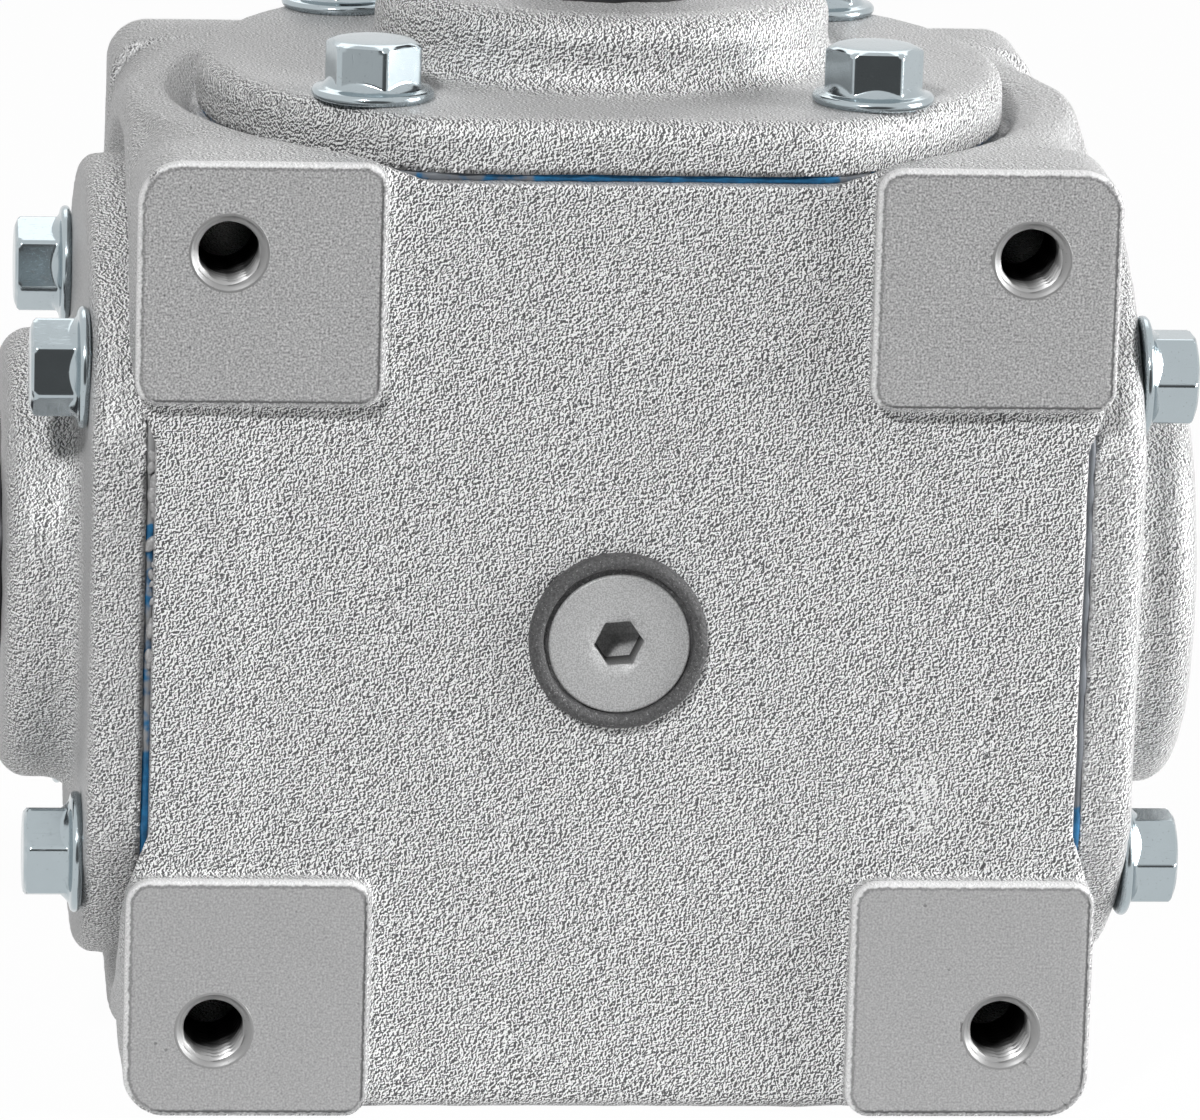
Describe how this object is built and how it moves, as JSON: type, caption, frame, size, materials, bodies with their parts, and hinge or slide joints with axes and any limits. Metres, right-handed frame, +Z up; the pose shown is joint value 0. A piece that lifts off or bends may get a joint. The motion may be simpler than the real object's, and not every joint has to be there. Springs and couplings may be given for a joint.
{
  "type": "right-angle gearbox",
  "caption": "Right-angle bevel gearbox: cast box with machined mounting pads, round bearing covers, an upright input shaft and a cross shaft that turns one to one and comes out on the left.",
  "frame": {"origin": "middle of the flat base, straight under the crossing of the two shaft axes", "axes": "+Z up along the input shaft, +X along the cross shaft, -Y out of the front mounting face"},
  "size_m": [0.2182, 0.108, 0.2016],
  "materials": {
    "silver_paint": "silver paint on rough casting",
    "blue_sealant": "satin",
    "zinc_plate": "bright zinc plate",
    "seal_rubber": "satin",
    "plug_steel": "smooth silver paint",
    "ring_rubber": "rough",
    "dark_steel": "oiled, turned",
    "gear_steel": "machined",
    "bearing_steel": "ground",
    "cage_brass": "pressed",
    "spring_steel": "phosphated"
  },
  "bodies": {
    "case": {"housing": "silver_paint", "left_cover": "silver_paint", "left_gasket": "blue_sealant", "left_cover_screws": "zinc_plate", "left_oil_seal": "seal_rubber", "right_cover": "silver_paint", "right_gasket": "blue_sealant", "right_cover_screws": "zinc_plate", "right_end_cap": "seal_rubber", "top_cover": "silver_paint", "top_gasket": "blue_sealant", "top_cover_screws": "zinc_plate", "top_oil_seal": "seal_rubber", "oil_plug": "plug_steel", "oil_plug_ring": "ring_rubber", "top_bearing_ring": "spring_steel", "left_bearing_outer_ring": "bearing_steel", "right_bearing_outer_ring": "bearing_steel", "upper_bearing_outer_ring": "bearing_steel", "lower_bearing_outer_ring": "bearing_steel"},
    "cross_train": {"cross_shaft": "dark_steel", "cross_gear": "gear_steel", "cross_gear_key": "spring_steel", "cross_sleeve": "spring_steel", "left_bearing_inner_ring": "bearing_steel", "right_bearing_inner_ring": "bearing_steel"},
    "input_train": {"input_shaft": "dark_steel", "input_gear": "gear_steel", "input_gear_key": "spring_steel", "input_gear_ring": "spring_steel", "input_bearing_ring": "spring_steel", "input_gear_shim": "spring_steel", "input_bearing_spacer": "spring_steel", "upper_bearing_inner_ring": "bearing_steel", "lower_bearing_inner_ring": "bearing_steel"},
    "left_roller_set": {"left_bearing_rollers": "bearing_steel", "left_bearing_cage": "cage_brass"},
    "right_roller_set": {"right_bearing_rollers": "bearing_steel", "right_bearing_cage": "cage_brass"},
    "upper_roller_set": {"upper_bearing_rollers": "bearing_steel", "upper_bearing_cage": "cage_brass"},
    "lower_roller_set": {"lower_bearing_rollers": "bearing_steel", "lower_bearing_cage": "cage_brass"}
  },
  "joints": [
    {"name": "cross_shaft_spin", "type": "hinge", "parent": "case", "child": "cross_train", "pos_m": [0, 0, 0.0675], "axis": [1, 0, 0], "continuous": true},
    {"name": "input_shaft_spin", "type": "hinge", "parent": "case", "child": "input_train", "pos_m": [0, 0, 0.0675], "axis": [0, 0, 1], "continuous": true},
    {"name": "left_rollers_spin", "type": "hinge", "parent": "case", "child": "left_roller_set", "pos_m": [0, 0, 0.0675], "axis": [1, 0, 0], "continuous": true},
    {"name": "right_rollers_spin", "type": "hinge", "parent": "case", "child": "right_roller_set", "pos_m": [0, 0, 0.0675], "axis": [1, 0, 0], "continuous": true},
    {"name": "upper_rollers_spin", "type": "hinge", "parent": "case", "child": "upper_roller_set", "pos_m": [0, 0, 0.0675], "axis": [0, 0, 1], "continuous": true},
    {"name": "lower_rollers_spin", "type": "hinge", "parent": "case", "child": "lower_roller_set", "pos_m": [0, 0, 0.0675], "axis": [0, 0, 1], "continuous": true}
  ],
  "couplings": [
    {"joint": "input_shaft_spin", "follows": "cross_shaft_spin", "ratio": 1},
    {"joint": "left_rollers_spin", "follows": "cross_shaft_spin", "ratio": 0.4156},
    {"joint": "right_rollers_spin", "follows": "cross_shaft_spin", "ratio": 0.4156},
    {"joint": "upper_rollers_spin", "follows": "cross_shaft_spin", "ratio": 0.4156},
    {"joint": "lower_rollers_spin", "follows": "cross_shaft_spin", "ratio": 0.4156}
  ]
}
